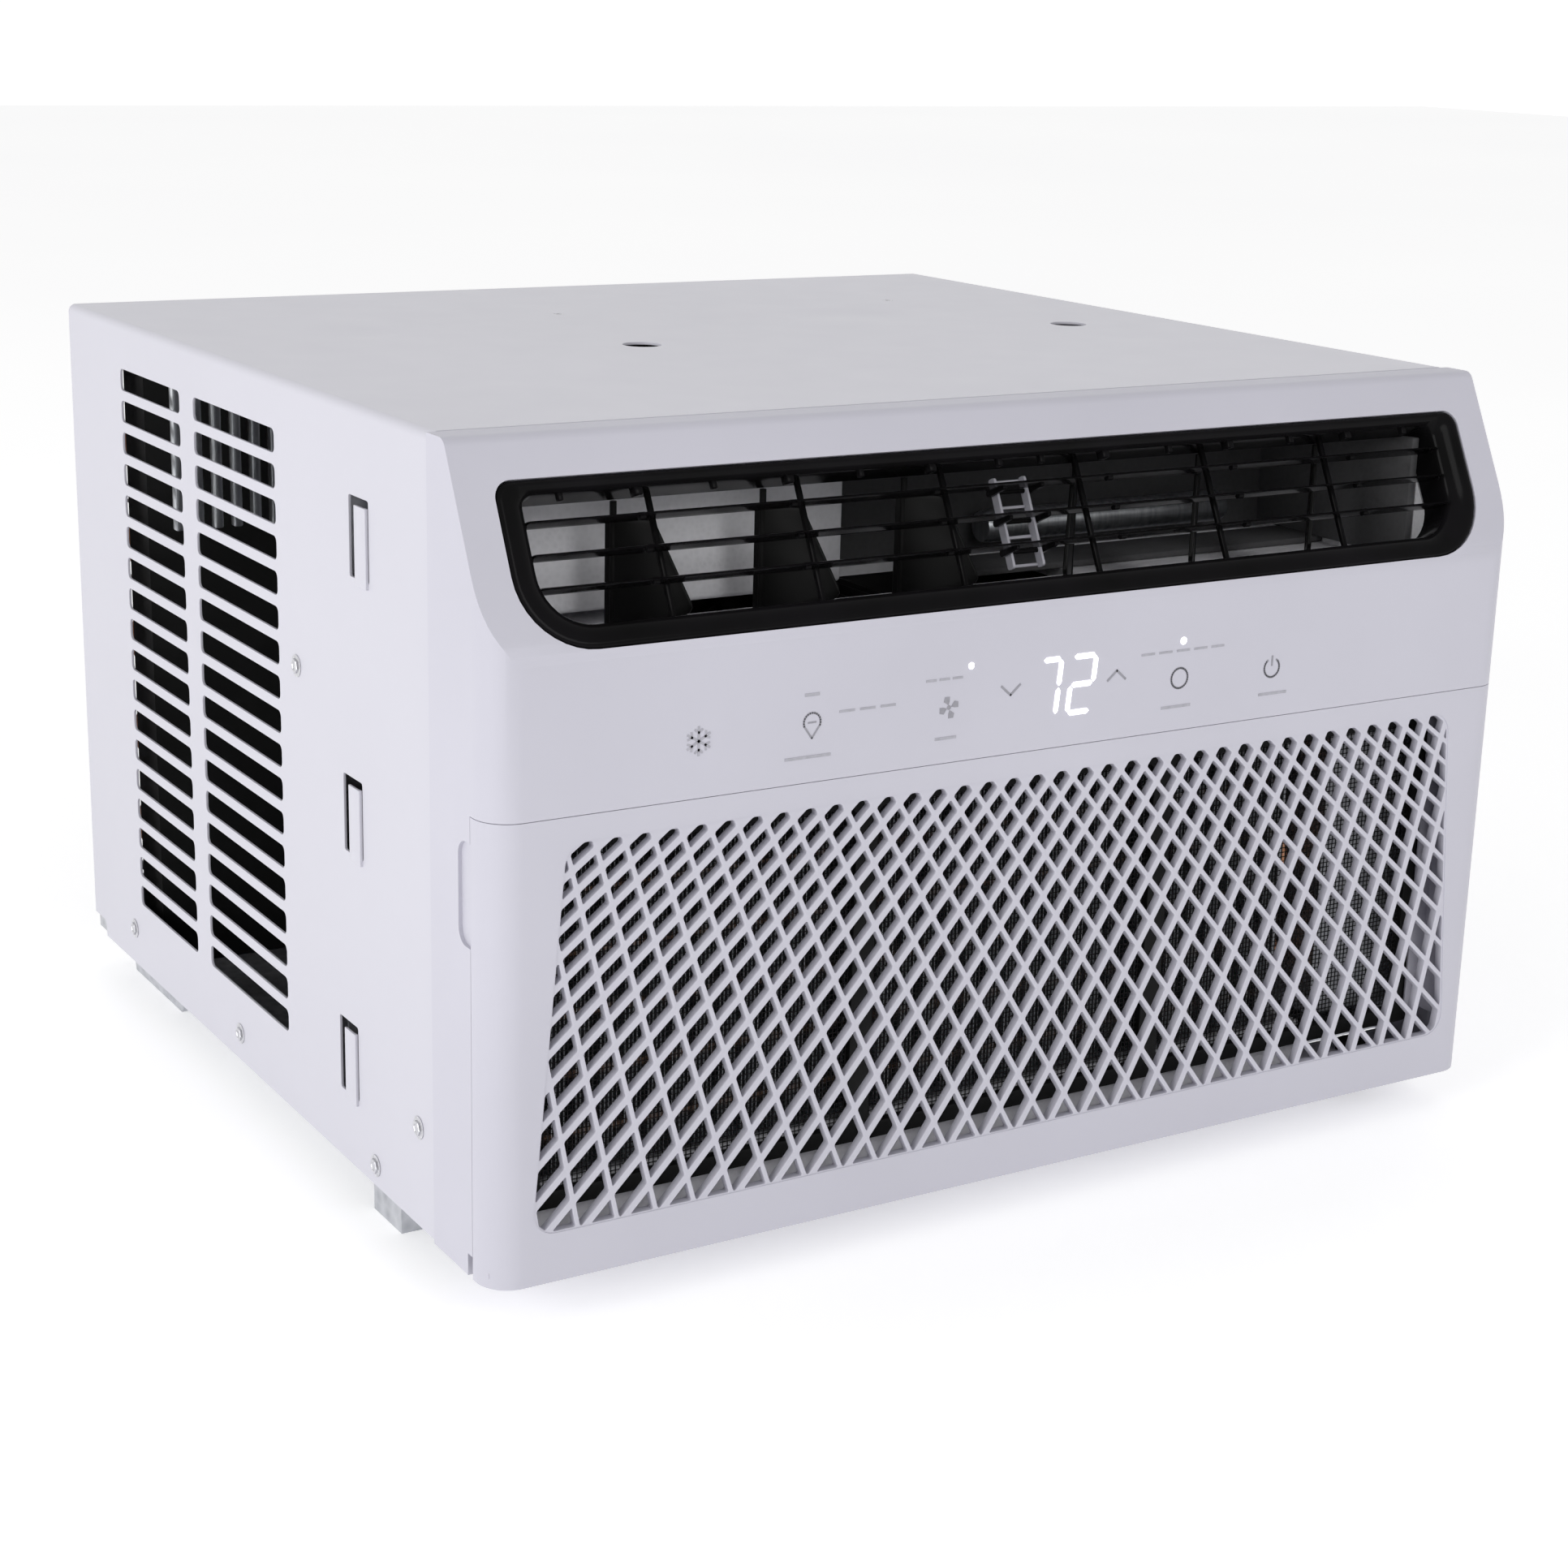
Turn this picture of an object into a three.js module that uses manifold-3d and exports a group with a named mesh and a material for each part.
// Window air conditioner: a steel cabinet on a base pan, a moulded front with a hinged intake grille and
// a louvred discharge, and the refrigeration and air-moving parts inside.
// Millimetres, +Z up, front towards -Y, origin under the middle of the case on the surface it stands on.
import * as THREE from "three";
import { mergeVertices } from "three/addons/utils/BufferGeometryUtils.js";
import Module from "manifold-3d";

const wasm = await Module();
wasm.setup();

// ---------------------------------------------------------------- driving dimensions
const HALF_WIDTH = 240; // front frame, and the outermost screw heads
const FRONT = -230;
const REAR = 230;
const TOP = 325;
const SILL = 18; // underside of the case, lifted by the rail and the pan's feet
const SEAM = -180; // where the front frame meets the cabinet
const SHEET = 1.2; // steel of the cabinet and the pan
const WALL = 2.5; // moulded plastic
const CORNER = 13; // vertical edges of the front
const GAP = 0.4; // clearance between neighbouring pieces

const CABINET_X = 238.5;
const DOOR_TOP = 195; // seam between the intake grille and the control fascia
const DOOR_BACK = -214;
const CREASE = 254; // where the upright fascia turns into the sloped discharge face
const SLOPE = Math.atan(0.5); // the discharge face leans back by this angle

const AXIS_X = -40; // fan motor's axis, along Y
const AXIS_Z = 158;

const finish = {
  body: { color: 0xd3d1dc, roughness: 0.5, metalness: 0 },
  steel: { color: 0xdedee4, roughness: 0.45, metalness: 0.1 },
  zinc: { color: 0xa9adb2, roughness: 0.4, metalness: 0.8 },
  black: { color: 0x0b0b0e, roughness: 0.2, metalness: 0 },
  dark: { color: 0x2b2c30, roughness: 0.6, metalness: 0 },
  foam: { color: 0xe9e9e6, roughness: 0.9, metalness: 0 },
  fins: { color: 0xb9bdc1, roughness: 0.35, metalness: 0.9 },
  copper: { color: 0xb8683e, roughness: 0.35, metalness: 1 },
  rubber: { color: 0x1a1a1a, roughness: 0.9, metalness: 0 },
  board: { color: 0x1d5b38, roughness: 0.6, metalness: 0 },
};

const root = new THREE.Group();

// ---------------------------------------------------------------- solids
function solid(geometry) {
  const bare = geometry.index ? geometry.toNonIndexed() : geometry.clone();
  bare.deleteAttribute("normal");
  bare.deleteAttribute("uv");
  const merged = mergeVertices(bare, 1e-4);
  const mesh = new wasm.Mesh({
    numProp: 3,
    vertProperties: new Float32Array(merged.attributes.position.array),
    triVerts: new Uint32Array(merged.index.array),
  });
  return new wasm.Manifold(mesh);
}

function geometryOf(body) {
  const mesh = body.getMesh();
  return new THREE.BufferGeometry()
    .setAttribute("position", new THREE.BufferAttribute(new Float32Array(mesh.vertProperties), 3))
    .setIndex(new THREE.BufferAttribute(new Uint32Array(mesh.triVerts), 1));
}

function addPart(name, body, look, parent = root) {
  const mesh = new THREE.Mesh(geometryOf(body), new THREE.MeshStandardMaterial(finish[look]));
  mesh.name = name;
  parent.add(mesh);
}

const joined = (...bodies) => bodies.reduce((all, body) => all.add(body));
const without = (body, ...cuts) => cuts.reduce((left, cut) => left.subtract(cut), body);

// A box from its limits along each axis.
function box([x0, x1], [y0, y1], [z0, z1]) {
  const block = new THREE.BoxGeometry(x1 - x0, y1 - y0, z1 - z0);
  return solid(block.translate((x0 + x1) / 2, (y0 + y1) / 2, (z0 + z1) / 2));
}

// The same body on the other side of the plane X = 0, with its faces turned back outwards.
function mirrored(body) {
  const geometry = geometryOf(body).scale(-1, 1, 1);
  const faces = geometry.index.array;
  for (let i = 0; i < faces.length; i += 3) {
    [faces[i + 1], faces[i + 2]] = [faces[i + 2], faces[i + 1]];
  }
  return solid(geometry);
}

const both = (body) => body.add(mirrored(body));

// A round bar along "x", "y" or "z", centred on a point, from one limit to the other.
function rod(along, radius, [from, to], [a, b], sides = 12) {
  const bar = new THREE.CylinderGeometry(radius, radius, to - from, sides);
  const middle = (from + to) / 2;
  if (along === "x") return solid(bar.rotateZ(Math.PI / 2).translate(middle, a, b));
  if (along === "y") return solid(bar.translate(a, middle, b));
  return solid(bar.rotateX(Math.PI / 2).translate(a, b, middle));
}

// An outline in (Y, Z) swept along X.
function sweptAlongX(points, [x0, x1]) {
  const outline = new THREE.Shape(points.map(([y, z]) => new THREE.Vector2(y, z)));
  const swept = new THREE.ExtrudeGeometry(outline, { depth: x1 - x0, bevelEnabled: false });
  const toXyz = new THREE.Matrix4().set(0, 0, 1, x0, 1, 0, 0, 0, 0, 1, 0, 0, 0, 0, 0, 1);
  return solid(swept.applyMatrix4(toXyz));
}

// An outline in (X, Z) swept along Y.
function sweptAlongY(outline, [y0, y1], segments = 6) {
  const settings = { depth: y1 - y0, bevelEnabled: false, curveSegments: segments };
  const swept = new THREE.ExtrudeGeometry(outline, settings);
  return solid(swept.rotateX(Math.PI / 2).translate(0, y1, 0));
}

// An outline in (X, Y) swept along Z.
function sweptAlongZ(outline, [z0, z1], segments = 6) {
  const settings = { depth: z1 - z0, bevelEnabled: false, curveSegments: segments };
  return solid(new THREE.ExtrudeGeometry(outline, settings).translate(0, 0, z0));
}

// A rectangle in two axes whose four corners may differ: lower left, lower right, upper right, upper left.
function roundedOutline([a0, a1], [b0, b1], [ll, lr, ur, ul]) {
  const outline = new THREE.Shape();
  outline.moveTo(a0 + ll, b0);
  outline.lineTo(a1 - lr, b0);
  if (lr) outline.absarc(a1 - lr, b0 + lr, lr, -Math.PI / 2, 0, false);
  outline.lineTo(a1, b1 - ur);
  if (ur) outline.absarc(a1 - ur, b1 - ur, ur, 0, Math.PI / 2, false);
  outline.lineTo(a0 + ul, b1);
  if (ul) outline.absarc(a0 + ul, b1 - ul, ul, Math.PI / 2, Math.PI, false);
  outline.lineTo(a0, b0 + ll);
  if (ll) outline.absarc(a0 + ll, b0 + ll, ll, Math.PI, 1.5 * Math.PI, false);
  return outline;
}

// A solid of revolution about the Y axis through (x, z), from pairs of radius and Y.
function turned(profile, [x, z], sides = 24) {
  const points = profile.map(([radius, y]) => new THREE.Vector2(radius, y));
  return solid(new THREE.LatheGeometry(points, sides).translate(x, 0, z));
}

// A solid of revolution about a vertical axis through (x, y), from pairs of radius and Z.
function turnedUp(profile, [x, y], sides = 20) {
  const points = profile.map(([radius, z]) => new THREE.Vector2(radius, z));
  return solid(new THREE.LatheGeometry(points, sides).rotateX(Math.PI / 2).translate(x, y, 0));
}

// A round tube of one diameter along a smooth curve through the points.
function pipe(points, radius, steps) {
  const section = new THREE.Shape().absarc(0, 0, radius, 0, 2 * Math.PI, false);
  const extrudePath = new THREE.CatmullRomCurve3(points.map((point) => new THREE.Vector3(...point)));
  return solid(new THREE.ExtrudeGeometry(section, { steps, extrudePath, curveSegments: 4 }));
}

// ---------------------------------------------------------------- cabinet, pan and rail
const SLOT_ROWS = 18;
const SLOT_PITCH = 14.3;
const SLOT_HEIGHT = 9.6;
const SLOT_LOWEST = 51.5;
const SLOT_COLUMNS = [
  [-31, 62],
  [79, 157],
];
const LANCES = [
  [-112, 260],
  [-102, 150],
  [-93.5, 48],
]; // front edge and foot of the upright slots that take a side curtain
const LANCE_WIDTH = 6;
const LANCE_HEIGHT = 31;
const TOP_HOLES = [
  [-55, 6],
  [175, 6],
];
const SIDE_SCREWS = [
  [-180 + 16, 59],
  [-122, 27],
  [27, 31],
  [168, 36],
  [-50, 213],
];
const TOP_SCREWS = [
  [-38, 120],
  [147, 120],
];
const SCREW_HOLE = 2.6;
const REAR_FLANGE = 14;

function cabinet() {
  const inner = CABINET_X - SHEET;
  let shell = box([-CABINET_X, CABINET_X], [SEAM, REAR], [SILL, TOP]);
  shell = shell.subtract(box([-inner, inner], [SEAM - 1, REAR - SHEET], [SILL - 1, TOP - SHEET]));
  const window = inner - REAR_FLANGE;
  shell = shell.subtract(box([-window, window], [REAR - 3, REAR + 1], [SILL - 1, TOP - REAR_FLANGE]));
  const through = [-HALF_WIDTH, HALF_WIDTH];
  for (let row = 0; row < SLOT_ROWS; row += 1) {
    const foot = SLOT_LOWEST + row * SLOT_PITCH;
    for (const column of SLOT_COLUMNS) {
      shell = shell.subtract(box(through, column, [foot, foot + SLOT_HEIGHT]));
    }
  }
  for (const [y, z] of LANCES) {
    shell = shell.subtract(box(through, [y, y + LANCE_WIDTH], [z, z + LANCE_HEIGHT]));
  }
  for (const [y, z] of SIDE_SCREWS) {
    shell = shell.subtract(rod("x", SCREW_HOLE, through, [y, z], 6));
  }
  for (const [x, y] of TOP_HOLES) shell = shell.subtract(rod("z", 8.5, [TOP - 3, TOP + 1], [x, y]));
  for (const [x, y] of TOP_SCREWS) {
    shell = shell.subtract(rod("z", SCREW_HOLE, [TOP - 3, TOP + 1], [x, y], 6));
  }
  return shell;
}

const PAN_X = CABINET_X - SHEET - GAP;
const PAN_FLOOR = SILL + 1;
const PAN_WALL = 24;
const FOOT_X = [150, 226]; // the pressed feet, mirrored left and right
const FOOT_Y = [118, 214];

// A foot pressed down out of the pan's floor: sloped at the front, upright at the back, open above.
function panFoot(offset) {
  const [front, back] = FOOT_Y;
  const outline = [
    [front + offset, SILL + 4],
    [front + 24 + offset, offset],
    [back - 6 - offset, offset],
    [back - offset, SILL + 4],
  ];
  return sweptAlongX(outline, [FOOT_X[0] + offset, FOOT_X[1] - offset]);
}

function basePan() {
  const [y0, y1] = [SEAM + 4, REAR - SHEET - GAP];
  const top = PAN_FLOOR + PAN_WALL;
  let tray = box([-PAN_X, PAN_X], [y0, y1], [PAN_FLOOR, top]);
  tray = tray.subtract(box([-PAN_X + 1.5, PAN_X - 1.5], [y0 + 1.5, y1 - 1.5], [PAN_FLOOR + 1.5, top + 1]));
  tray = tray.add(both(panFoot(0)).intersect(box([-PAN_X, PAN_X], [y0, y1], [0, PAN_FLOOR + 1.5])));
  tray = tray.subtract(both(panFoot(1.5)));
  tray = tray.subtract(box([-PAN_X - 1, PAN_X + 1], [y0 - 1, y0 + 20], [PAN_FLOOR + 4.4, top + 1]));
  for (const [y, z] of SIDE_SCREWS.slice(1, 4)) {
    tray = tray.subtract(rod("x", SCREW_HOLE, [-HALF_WIDTH, HALF_WIDTH], [y, z], 6));
  }
  return tray;
}

// The steel channel across the underside that hooks on the window sill.
function bottomRail() {
  const outer = box([-232, 232], [-131, -104], [0, SILL - GAP]);
  return outer.subtract(box([-230, 230], [-129, -106], [-1, SILL - 2.5]));
}

function screw(side, y, z) {
  const head = rod("x", 4.6, [CABINET_X + 0.15, HALF_WIDTH], [y, z], 10);
  const shank = rod("x", 1.9, [CABINET_X - 7, CABINET_X + 1], [y, z], 6);
  const made = head.add(shank);
  return side < 0 ? mirrored(made) : made;
}

function topScrew(x, y) {
  const head = rod("z", 4.2, [TOP - SHEET - 1.6, TOP - SHEET - 0.3], [x, y], 10);
  return head.add(rod("z", 1.9, [TOP - SHEET - 1, TOP - 0.1], [x, y], 6));
}

function chassis() {
  addPart("cabinet", cabinet(), "steel");
  addPart("base_pan", basePan(), "zinc");
  addPart("bottom_rail", bottomRail(), "zinc");
  SIDE_SCREWS.forEach(([y, z], i) => {
    addPart(`side_screw_left_${i + 1}`, screw(-1, y, z), "zinc");
    addPart(`side_screw_right_${i + 1}`, screw(1, y, z), "zinc");
  });
  TOP_SCREWS.forEach(([x, y], i) => addPart(`top_screw_${i + 1}`, topScrew(x, y), "zinc"));
}

// ---------------------------------------------------------------- front frame and display
const LEAN_BACK = (TOP - CREASE) * Math.tan(SLOPE);
const DISCHARGE_X = 225;
const DISCHARGE_V = [-31, 31.5]; // along the slope, from the middle of the discharge opening
const SLOPE_MIDDLE = 31.5; // from the crease up the slope to that middle
const HINGE_Y = -222;
const HINGE_Z = 23;
const EAR_X = [224, 228];
const CORD_INLET = [205, -195]; // where the supply cord enters through the front frame's floor

// The front's outline seen from the side, moved inwards by a wall's thickness.
function frontProfile(inset) {
  const shift = inset * Math.tan(SLOPE / 2);
  return [
    [FRONT + inset, SILL + inset],
    [FRONT + inset, CREASE - shift],
    [FRONT + LEAN_BACK + inset / Math.cos(SLOPE) - inset * Math.tan(SLOPE), TOP - inset],
    [SEAM + (inset ? 5 : 0), TOP - inset],
    [SEAM + (inset ? 5 : 0), SILL + inset],
  ];
}

// Seen from above, the front is a rectangle whose two front corners are round.
function frontPlan(inset) {
  const radius = CORNER - inset;
  const half = HALF_WIDTH - inset;
  const outline = roundedOutline([-half, half], [FRONT + inset, SEAM + 10], [radius, radius, 0, 0]);
  return sweptAlongZ(outline, [0, TOP + 1]);
}

const dischargeGroup = new THREE.Group();
dischargeGroup.rotation.x = -SLOPE;
dischargeGroup.position.set(
  0,
  FRONT + SLOPE_MIDDLE * Math.sin(SLOPE),
  CREASE + SLOPE_MIDDLE * Math.cos(SLOPE),
);
dischargeGroup.updateMatrixWorld();
root.add(dischargeGroup);

// The discharge opening: big round corners below, small ones above, in the slope's own axes.
function dischargeOutline(inset, depth) {
  const low = 28 - inset;
  const high = Math.max(7 - inset, 1);
  const x = DISCHARGE_X - inset;
  const [v0, v1] = DISCHARGE_V;
  const outline = roundedOutline([-x, x], [v0 + inset, v1 - inset], [low, low, high, high]);
  return sweptAlongY(outline, depth, 4);
}

const onSlope = (body) => solid(geometryOf(body).applyMatrix4(dischargeGroup.matrixWorld));

function frontFrame() {
  const outer = sweptAlongX(frontProfile(0), [-HALF_WIDTH, HALF_WIDTH]).intersect(frontPlan(0));
  const hollow = sweptAlongX(frontProfile(WALL), [-HALF_WIDTH, HALF_WIDTH]).intersect(frontPlan(WALL));
  const doorSpace = box([-250, 250], [FRONT - 1, DOOR_BACK + GAP], [0, DOOR_TOP + GAP]);
  const hingeSpace = box([-250, 250], [FRONT - 1, -210], [0, 27]);
  const opening = onSlope(dischargeOutline(0, [-6, 12]));
  const scoops = both(box([236, 250], [DOOR_BACK, -203], [146, 185]));
  const lip = box([-237.8, 237.8], [FRONT + 1, DOOR_BACK + 1], [DOOR_TOP + GAP, DOOR_TOP + GAP + WALL]);
  const ear = joined(
    rod("x", 4.2, EAR_X, [HINGE_Y, HINGE_Z]),
    box(EAR_X, [HINGE_Y, -205], [HINGE_Z - 2.1, HINGE_Z + 4.2]),
    box([EAR_X[0], 238], [-209.5, -205], [HINGE_Z - 2.1, HINGE_Z + 4.2]),
  ).subtract(rod("x", 2.5, [EAR_X[0] - 1, EAR_X[1] + 1], [HINGE_Y, HINGE_Z]));
  const inlet = rod("z", 6, [SILL - 1, SILL + WALL + 1], CORD_INLET);
  const shell = without(outer, hollow, doorSpace, hingeSpace, opening, scoops, inlet);
  return joined(shell, lip.intersect(frontPlan(0)), both(ear));
}

// The bushing that lines the cord's hole, with a flange on each side of the floor.
function cordGland() {
  const profile = [
    [3.6, SILL - 2],
    [8.5, SILL - 2],
    [8.5, SILL - 0.4],
    [5.6, SILL - 0.4],
    [5.6, SILL + WALL + 0.4],
    [8, SILL + WALL + 0.4],
    [7, SILL + 7],
    [3.6, SILL + 7],
    [3.6, SILL - 2],
  ];
  return turnedUp(profile, CORD_INLET, 12);
}

function displayParts() {
  const housing = without(
    box([-118, 124], [FRONT + WALL + 0.3, -218.4], [201, 238]),
    box([-115, 121], [FRONT + WALL + 2, -218], [204, 235]),
  );
  addPart("display_housing", housing, "dark");
  addPart("display_board", box([-114, 120], [-222, -220.4], [205, 234]), "board");
  addPart("digit_module", box([-14, 26], [-225.2, -222.4], [206, 232]), "dark");
}

// ---------------------------------------------------------------- hinged intake grille and its filter
const BARS_MEET = [303.5, 546.4]; // every bar of one family points at this place in (X, Z)
const BAR_PITCH = 65; // along the foot of the opening
const BAR_WIDTH = 3;
const LATTICE_TOP = 186;
const LATTICE_FOOT = 37;
const LATTICE_TOP_X = 210;
const LATTICE_FOOT_X = 224;
const PLATE = 2.8;

function latticeOutline(grow) {
  return new THREE.Shape([
    new THREE.Vector2(-LATTICE_FOOT_X - grow, LATTICE_FOOT - grow),
    new THREE.Vector2(LATTICE_FOOT_X + grow, LATTICE_FOOT - grow),
    new THREE.Vector2(LATTICE_TOP_X + grow, LATTICE_TOP + grow),
    new THREE.Vector2(-LATTICE_TOP_X - grow, LATTICE_TOP + grow),
  ]);
}

// One straight bar that rises from a point on the foot of the opening towards where its family meets.
function latticeBar(foot) {
  const [x, z] = BARS_MEET;
  const rise = Math.atan2(z - LATTICE_FOOT, x - foot);
  const bar = new THREE.BoxGeometry(1200, PLATE, BAR_WIDTH).rotateY(-rise);
  return solid(bar.translate(foot, FRONT + PLATE / 2, LATTICE_FOOT));
}

function latticeBars() {
  const area = sweptAlongY(latticeOutline(0.5), [FRONT, FRONT + PLATE]);
  const bars = [];
  for (let i = 0; i < 14; i += 1) {
    const bar = latticeBar(BARS_MEET[0] - (i + 1.3) * BAR_PITCH).intersect(area);
    if (bar.volume() > 1) bars.push(both(bar));
  }
  return joined(...bars);
}

function intakeGrille() {
  const limits = box([-250, 250], [FRONT - 1, DOOR_BACK], [SILL, DOOR_TOP]);
  const inner = box([-250, 250], [FRONT + PLATE, DOOR_BACK + 1], [SILL + WALL, DOOR_TOP - WALL]);
  const opening = sweptAlongY(latticeOutline(0), [FRONT - 1, FRONT + PLATE + 1]);
  const earSlots = both(box([221.5, 230.5], [FRONT + PLATE + 0.1, DOOR_BACK + 1], [SILL - 1, SILL + 4]));
  const shell = without(frontPlan(0).intersect(limits), inner.intersect(frontPlan(WALL)), opening, earSlots);
  const rail = joined(
    box([224.6, 226.6], [FRONT + 1, -205], [44, 180]),
    box([216, 226.6], [-213.4, -212.2], [44, 180]),
    box([216, 226.6], [-206.4, -205], [44, 180]),
  );
  const pin = rod("x", 1.9, [EAR_X[0] + 0.5, HALF_WIDTH - 1], [HINGE_Y, HINGE_Z]);
  return joined(shell, latticeBars(), both(rail), both(pin));
}

const FILTER_X = 222;
const FILTER_Z = [38, 183];
const FILTER_Y = [-211.6, -207];

function filterParts() {
  const [z0, z1] = FILTER_Z;
  const frame = box([-FILTER_X, FILTER_X], FILTER_Y, FILTER_Z);
  const windows = [-1, 0, 1].map((i) => box([i * 144 - 67, i * 144 + 67], [-215, -200], [z0 + 7, z1 - 7]));
  const grip = box([-24, 24], [-211.6, -208], [z1 - 1, z1 + 5]);
  const meshSpace = box([-215, 215], [-210, -208.6], [z0 + 3, z1 - 3]);
  addPart("filter_frame", without(frame.add(grip), meshSpace, ...windows), "dark");
  addPart("filter_mesh", box([-214.6, 214.6], [-209.7, -208.9], [z0 + 3.4, z1 - 3.4]), "dark");
}

// ---------------------------------------------------------------- discharge: frame, louvres and vanes
// The frame, the louvres and their link are drawn in the slope's own axes: X across, Y into the case and
// Z up the slope. The vanes swing about upright pivots, so they are drawn in the case's axes.
const TUBE_X = 214;
const TUBE_V = [-21, 26.5];
const TUBE_DEPTH = 70;
const BLADE_PIVOT = 7.5;
const BLADE_V = [-7.6, 4.4, 16.4];
const BLADE_REACH = 9; // from a blade's pivot back to its link pin
const LADDER_X = 7.6; // outer half width of the ladder that links the blades
const GUARD_X = [32, 96, 159]; // fixed ribs behind the blades
const GUARD_DEPTH = [12.9, 14.9];
const VANE_X = [41, 104, 167];
const VANE_Y = -181;
const VANE_REACH = 12;
const VANE_TURN = THREE.MathUtils.degToRad(41); // both sets point towards the middle at rest
const VANE_FOOT = 243;
const VANE_HEAD = 290;

const intoSlope = (body) => {
  const inverse = dischargeGroup.matrixWorld.clone().invert();
  return solid(geometryOf(body).applyMatrix4(inverse));
};

function dischargeFrame() {
  const [v0, v1] = TUBE_V;
  let frame = dischargeOutline(GAP, [0.6, 8]);
  frame = frame.add(box([-TUBE_X - 2, TUBE_X + 2], [3, TUBE_DEPTH], [v0 - 2, v1 + 2]));
  frame = frame.subtract(box([-TUBE_X, TUBE_X], [-1, TUBE_DEPTH + 1], TUBE_V));
  for (const x of GUARD_X) {
    frame = frame.add(both(box([x - 1.7, x + 1.7], GUARD_DEPTH, [v0 - 1, v1 + 1])));
  }
  for (const v of BLADE_V) {
    frame = frame.subtract(rod("x", 1.9, [-TUBE_X - 5, TUBE_X + 5], [BLADE_PIVOT, v], 8));
  }
  for (const x of VANE_X) {
    frame = frame.subtract(intoSlope(both(rod("z", 1.9, [235, 300], [x, VANE_Y], 8))));
  }
  return frame;
}

function louvreBlade(v) {
  const y = BLADE_PIVOT;
  const blade = box([-TUBE_X + 1, TUBE_X - 1], [y - 5, y + 5], [v - 0.7, v + 0.7]);
  const notch = box([-LADDER_X - 0.7, LADDER_X + 0.7], [y + 2.5, y + 6], [v - 2, v + 2]);
  const ears = both(box([LADDER_X + 0.7, LADDER_X + 2.2], [y, y + BLADE_REACH + 2], [v - 0.7, v + 0.7]));
  const pivot = rod("x", 1.3, [-TUBE_X - 2, TUBE_X + 2], [y, v], 8);
  const linkPin = rod("x", 1, [-LADDER_X - 1, LADDER_X + 1], [y + BLADE_REACH, v], 8);
  return joined(blade.add(pivot).subtract(notch), ears, linkPin);
}

function louvreLink() {
  const y = BLADE_PIVOT + BLADE_REACH;
  const [low, high] = [BLADE_V[0] - 3.4, BLADE_V[2] + 3.4];
  const rail = box([LADDER_X - 1.4, LADDER_X], [y - 2.6, y + 2.6], [low, high]);
  let link = both(rail);
  for (const v of BLADE_V) link = link.subtract(rod("x", 1.5, [-10, 10], [y, v], 8));
  for (const v of [low + 0.7, -1.6, 10.4, high - 0.7]) {
    link = link.add(box([-LADDER_X + 1, LADDER_X - 1], [y + 1.8, y + 2.6], [v - 0.7, v + 0.7]));
  }
  return link;
}

// A vane is drawn straight ahead of its pivot, then turned: its front edge keeps clear of the ribs.
function vane(hand, x) {
  const outline = [
    [3, VANE_FOOT],
    [-27.5, VANE_FOOT + 16],
    [-13, VANE_HEAD],
    [3, VANE_HEAD],
  ];
  const made = joined(
    sweptAlongX(outline, [-0.9, 0.9]),
    rod("z", 1.3, [VANE_FOOT - 3.7, VANE_HEAD + 6], [0, 0], 8),
    box([-1.6, 1.6], [0, VANE_REACH + 2.2], [VANE_FOOT - 1, VANE_FOOT + 1]),
    rod("z", 1, [VANE_FOOT - 4.4, VANE_FOOT], [0, VANE_REACH], 8),
  );
  return solid(geometryOf(made).rotateZ(-hand * VANE_TURN).translate(hand * x, VANE_Y, 0));
}

function vaneLink(hand) {
  const shift = hand * VANE_REACH * Math.sin(VANE_TURN);
  const y = VANE_Y + VANE_REACH * Math.cos(VANE_TURN);
  const places = VANE_X.map((x) => hand * x + shift);
  const [low, high] = [Math.min(...places), Math.max(...places)];
  let link = box([low - 4, high + 4], [y - 2.6, y + 2.6], [VANE_FOOT - 3.6, VANE_FOOT - 1.5]);
  for (const x of places) link = link.subtract(rod("z", 1.5, [230, 250], [x, y], 8));
  return link;
}

function discharge() {
  addPart("discharge_frame", dischargeFrame(), "black", dischargeGroup);
  BLADE_V.forEach((v, i) => addPart(`louvre_blade_${i + 1}`, louvreBlade(v), "black", dischargeGroup));
  addPart("louvre_link", louvreLink(), "body", dischargeGroup);
  for (const [side, hand] of [
    ["left", -1],
    ["right", 1],
  ]) {
    VANE_X.forEach((x, i) => addPart(`vane_${side}_${i + 1}`, vane(hand, x), "black"));
    addPart(`vane_link_${side}`, vaneLink(hand), "black");
  }
}

// ---------------------------------------------------------------- indoor side: duct, blower and evaporator
const BLOWER_Y = [-150, -98];
const SCROLL_Y = [-154, -92];
const SCROLL_TOP = 238;
const SCROLL_X = [AXIS_X - 100, AXIS_X + 112];
const BULKHEAD = -88;

// A place in (Y, Z) from a depth and a height in the slope's axes.
function fromSlope(depth, v) {
  const { y, z } = dischargeGroup.position;
  return [
    y + depth * Math.cos(SLOPE) + v * Math.sin(SLOPE),
    z - depth * Math.sin(SLOPE) + v * Math.cos(SLOPE),
  ];
}

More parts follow.
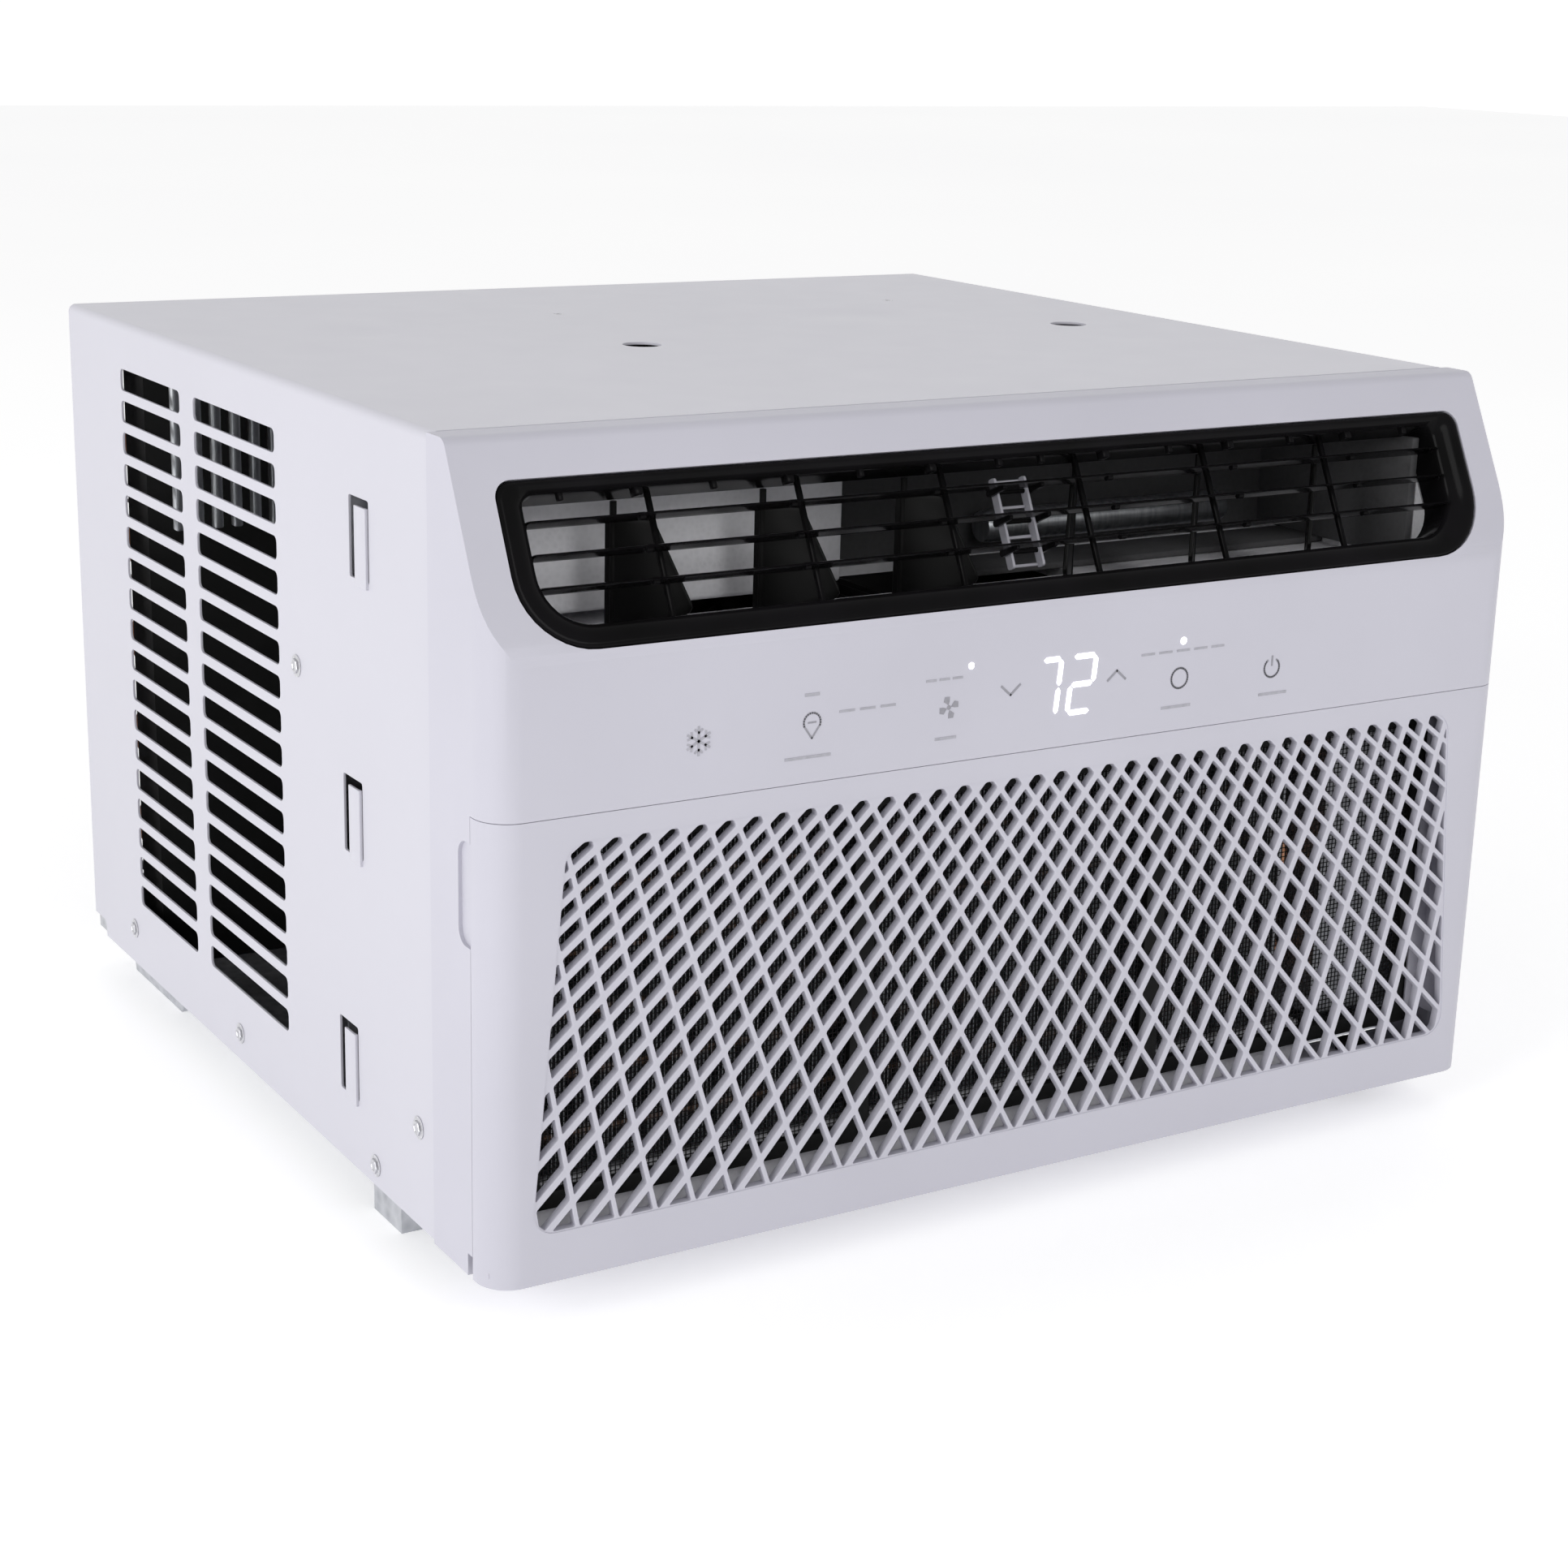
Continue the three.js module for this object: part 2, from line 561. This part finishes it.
// The foam duct that turns the blower's upward stream forwards into the discharge frame.
function airDuct() {
  const outline = [
    fromSlope(TUBE_DEPTH + GAP, -27),
    fromSlope(TUBE_DEPTH + GAP, 31),
    [-112, 308],
    [-90.5, 308],
    [-90.5, SCROLL_TOP + GAP],
    [SCROLL_Y[0], SCROLL_TOP + GAP],
  ];
  const cavity = [
    fromSlope(TUBE_DEPTH - 1, TUBE_V[0]),
    fromSlope(TUBE_DEPTH - 1, TUBE_V[1]),
    [-114, 303],
    [-95.5, 303],
    [-95.5, SCROLL_TOP + 5],
    [SCROLL_Y[0] + 4, SCROLL_TOP + 5],
  ];
  const duct = sweptAlongX(outline, [-222, 222]);
  const hollow = sweptAlongX(cavity, [-212, 212]);
  const inlet = box([SCROLL_X[0] + 3, SCROLL_X[1] - 3], [SCROLL_Y[0] + 4, -95.5], [230, SCROLL_TOP + 8]);
  return without(duct, hollow, inlet);
}

// The scroll's outline seen from the front: a round belly below, upright sides to the outlet above.
function scrollOutline(inset) {
  const [x0, x1] = [SCROLL_X[0] + inset, SCROLL_X[1] - inset];
  const middle = (x0 + x1) / 2;
  const radius = (x1 - x0) / 2;
  const outline = new THREE.Shape();
  outline.moveTo(x1, SCROLL_TOP + (inset ? 1 : 0));
  outline.lineTo(x0, SCROLL_TOP + (inset ? 1 : 0));
  outline.lineTo(x0, AXIS_Z - 4);
  outline.absarc(middle, AXIS_Z - 4, radius, Math.PI, 2 * Math.PI, false);
  return outline;
}

function blowerScroll() {
  const [y0, y1] = SCROLL_Y;
  return without(
    sweptAlongY(scrollOutline(0), SCROLL_Y, 10),
    sweptAlongY(scrollOutline(3), [y0 + 2, y1 - 2], 10),
    rod("y", 62, [y0 - 1, y0 + 3], [AXIS_X, AXIS_Z], 24),
    rod("y", 12, [y1 - 3, y1 + 1], [AXIS_X, AXIS_Z], 12),
  );
}

const WHEEL_RADIUS = 84;
const WHEEL_BLADES = 20;

function blowerWheel() {
  const [y0, y1] = BLOWER_Y;
  const ring = [
    [WHEEL_RADIUS - 11, y0],
    [WHEEL_RADIUS, y0],
    [WHEEL_RADIUS, y0 + 3],
    [WHEEL_RADIUS - 11, y0 + 3],
    [WHEEL_RADIUS - 11, y0],
  ];
  const back = [
    [0, y1 - 3],
    [WHEEL_RADIUS, y1 - 3],
    [WHEEL_RADIUS, y1],
    [0, y1],
  ];
  const hub = rod("y", 12, [y1 - 22, y1 - 1], [AXIS_X, AXIS_Z]);
  let wheel = joined(turned(ring, [AXIS_X, AXIS_Z]), turned(back, [AXIS_X, AXIS_Z]), hub);
  for (let i = 0; i < WHEEL_BLADES; i += 1) {
    const blade = new THREE.BoxGeometry(10, y1 - y0 - 2, 1.6).translate(0, (y0 + y1) / 2, 0);
    blade.rotateY(0.7).translate(WHEEL_RADIUS - 5.5, 0, 0);
    blade.rotateY((i * 2 * Math.PI) / WHEEL_BLADES).translate(AXIS_X, 0, AXIS_Z);
    wheel = wheel.add(solid(blade));
  }
  return wheel.subtract(rod("y", 4.4, [y0 - 1, y1 + 1], [AXIS_X, AXIS_Z], 12));
}

const EVAPORATOR = { x: [-222, 158], y: [-200, -164], z: [46, 190] };
const CONTROL_X = [170, 231];

function indoorSide() {
  addPart("air_duct", airDuct(), "foam");
  addPart("blower_scroll", blowerScroll(), "dark");
  addPart("blower_wheel", blowerWheel(), "dark");
  const { x, y, z } = EVAPORATOR;
  addPart("evaporator_coil", box(x, y, z), "fins");
  const tray = box([-228, 162], [-204, -158], [24, 45.5]);
  addPart("drain_tray", tray.subtract(box([-224, 158], [-201, -161], [30, 47])), "foam");
  const plate = box([-PAN_X + 2, PAN_X - 2], [BULKHEAD, BULKHEAD + 1.5], [PAN_FLOOR + 2, TOP - 4]);
  const hole = rod("y", 20, [BULKHEAD - 1, BULKHEAD + 3], [AXIS_X, AXIS_Z]);
  const pipeHole = box([176, 206], [BULKHEAD - 1, BULKHEAD + 3], [206, 236]);
  addPart("bulkhead", without(plate, hole, pipeHole), "zinc");
}

function controls() {
  const [x0, x1] = CONTROL_X;
  const shell = box(CONTROL_X, [-202, -96], [46, 200]);
  const space = box([x0 + 2, x1 + 1], [-200, -98], [48, 198]);
  addPart("control_box", shell.subtract(space), "zinc");
  addPart("control_board", box([x0 + 6, x0 + 7.6], [-194, -120], [90, 190]), "board");
  addPart("run_capacitor", rod("z", 19, [52, 84], [x0 + 34, -150], 16), "fins");
}

// ---------------------------------------------------------------- outdoor side
const SHROUD = 150;
const FAN_RADIUS_OUT = 118;
const CONDENSER = { x: [-222, 222], y: [180, 214], z: [30, 306] };
const COMPRESSOR = { x: 162, y: 24, radius: 56, foot: 46, top: 226 };

function fanMotor() {
  const body = [
    [0, -46],
    [14, -46],
    [16, -38],
    [46, -38],
    [50, -34],
    [50, 22],
    [46, 26],
    [16, 26],
    [14, 34],
    [0, 34],
  ];
  const made = turned(body, [AXIS_X, AXIS_Z]);
  return made.subtract(rod("y", 5.2, [-60, 60], [AXIS_X, AXIS_Z], 12));
}

// Two uprights and a saddle under the motor.
function motorBracket() {
  const foot = PAN_FLOOR + 1.5 + GAP;
  const saddle = AXIS_Z - 50 - GAP;
  const [x0, x1] = [AXIS_X - 58, AXIS_X + 58];
  const made = joined(
    box([x0, x1], [-38, 26], [foot, foot + 2]),
    box([x0 + 16, x1 - 16], [-38, 26], [saddle - 24, saddle - 22]),
    both(box([26, 28], [-38, 26], [foot, saddle + 6])).translate(AXIS_X, 0, 0),
  );
  return made.subtract(rod("y", 50 + GAP, [-50, 50], [AXIS_X, AXIS_Z], 24));
}

// A five-bladed axial fan inside a slinger ring that lifts condensate off the pan.
function condenserFan() {
  const [y0, y1] = [122, 144];
  const hub = [
    [0, y0],
    [24, y0],
    [26, y1],
    [0, y1],
  ];
  const ring = [
    [FAN_RADIUS_OUT - 4, y0 + 6],
    [FAN_RADIUS_OUT, y0 + 6],
    [FAN_RADIUS_OUT, y1 - 4],
    [FAN_RADIUS_OUT - 4, y1 - 4],
    [FAN_RADIUS_OUT - 4, y0 + 6],
  ];
  let fan = turned(hub, [AXIS_X, AXIS_Z]).add(turned(ring, [AXIS_X, AXIS_Z], 36));
  for (let i = 0; i < 5; i += 1) {
    const blade = new THREE.BoxGeometry(96, 2.4, 66).translate(68, 0, 0);
    blade.rotateX(THREE.MathUtils.degToRad(15)).translate(0, (y0 + y1) / 2 + 1, 0);
    blade.rotateY((i * 2 * Math.PI) / 5).translate(AXIS_X, 0, AXIS_Z);
    const round = rod("y", FAN_RADIUS_OUT - 2, [y0 - 4, y1 + 4], [AXIS_X, AXIS_Z], 36);
    fan = fan.add(solid(blade).intersect(round));
  }
  return fan.subtract(rod("y", 4.4, [y0 - 1, y1 + 1], [AXIS_X, AXIS_Z], 12));
}

function fanShroud() {
  const x = CABINET_X - 8;
  const z = [PAN_FLOOR + 2, TOP - 4];
  const ring = rod("y", FAN_RADIUS_OUT + 6, [124, SHROUD + 1], [AXIS_X, AXIS_Z], 36);
  const bore = rod("y", FAN_RADIUS_OUT + 3.5, [120, SHROUD + 4], [AXIS_X, AXIS_Z], 36);
  const skirt = box([-x, x], [SHROUD, 177], z);
  const inside = box([-x + 2, x - 2], [SHROUD + 2, 178], [z[0] + 2, z[1] - 2]);
  return without(skirt.subtract(inside).add(ring), bore);
}

function compressorParts() {
  const { x, y, radius, foot, top } = COMPRESSOR;
  const shell = [
    [0, foot],
    [radius - 14, foot],
    [radius, foot + 12],
    [radius, top - 22],
    [radius - 16, top - 5],
    [0, top],
  ];
  const plate = new THREE.Shape();
  const corners = [0, 1, 2].map((i) => Math.PI / 2 + (i * 2 * Math.PI) / 3);
  plate.setFromPoints(
    corners.flatMap((a) =>
      [-0.14, 0.14].map((turn) => new THREE.Vector2(x + 66 * Math.cos(a + turn), y + 66 * Math.sin(a + turn))),
    ),
  );
  const feet = sweptAlongZ(plate, [foot - 4, foot + 4]);
  addPart("compressor", turnedUp(shell, [x, y]).add(feet), "rubber");
  corners.forEach((a, i) => {
    const place = [x + 56 * Math.cos(a), y + 56 * Math.sin(a)];
    addPart(`compressor_grommet_${i + 1}`, rod("z", 9, [21, foot - 4.4], place, 12), "rubber");
  });
  const bottle = [
    [0, 84],
    [12, 86],
    [19, 96],
    [19, 178],
    [12, 188],
    [0, 190],
  ];
  addPart("accumulator", turnedUp(bottle, [88, -20], 16), "copper");
}

function pipes() {
  const { x, y, top } = COMPRESSOR;
  const suction = [
    [88, -20, 190.5],
    [90, -22, 214],
    [110, -40, 222],
    [160, -66, 222],
    [184, -80, 216],
    [184, -100, 214],
    [170, -120, 214],
    [158, -150, 214],
    [146, -180, 210],
    [146, -182, 200],
    [146, -182, 190.5],
  ];
  addPart("suction_pipe", pipe(suction, 4, 20), "copper");
  const hot = [
    [x, y, top + 0.5],
    [x, y, top + 22],
    [x + 10, y + 16, top + 34],
    [x + 40, y + 50, top + 34],
    [x + 46, y + 90, top + 28],
    [x + 46, y + 122, top + 10],
  ];
  addPart("discharge_pipe", pipe(hot, 3.5, 16), "copper");
  const liquid = [
    [120, -18, 60],
    [128, -40, 52],
    [170, -70, 60],
    [196, -82, 120],
    [198, -84, 222],
    [196, -96, 230],
    [170, -122, 230],
    [114, -170, 212],
    [112, -178, 200],
    [112, -178, 190.5],
  ];
  addPart("capillary_line", pipe(liquid, 2, 22), "copper");
}

function outdoorSide() {
  addPart("fan_motor", fanMotor(), "zinc");
  addPart("motor_bracket", motorBracket(), "zinc");
  addPart("motor_shaft", rod("y", 4, [-151, 146], [AXIS_X, AXIS_Z], 12), "zinc");
  addPart("condenser_fan", condenserFan(), "dark");
  addPart("fan_shroud", fanShroud(), "zinc");
  const { x, y, z } = CONDENSER;
  addPart("condenser_coil", box(x, y, z), "fins");
  compressorParts();
  pipes();
}

function rearGuard() {
  let guard = box([-222, 222], [217, 221], [46, 308]);
  for (let column = 0; column < 6; column += 1) {
    const x = -218 + column * 73;
    guard = guard.subtract(box([x, x + 71], [216, 222], [50, 304]));
  }
  for (let row = 0; row < 5; row += 1) {
    guard = guard.add(box([-220, 220], [218, 220], [92 + row * 42, 94 + row * 42]));
  }
  return guard;
}

chassis();
addPart("front_frame", frontFrame(), "body");
addPart("cord_gland", cordGland(), "rubber");
displayParts();
addPart("intake_grille", intakeGrille(), "body");
filterParts();
discharge();
indoorSide();
controls();
outdoorSide();
addPart("rear_guard", rearGuard(), "zinc");

export default root;
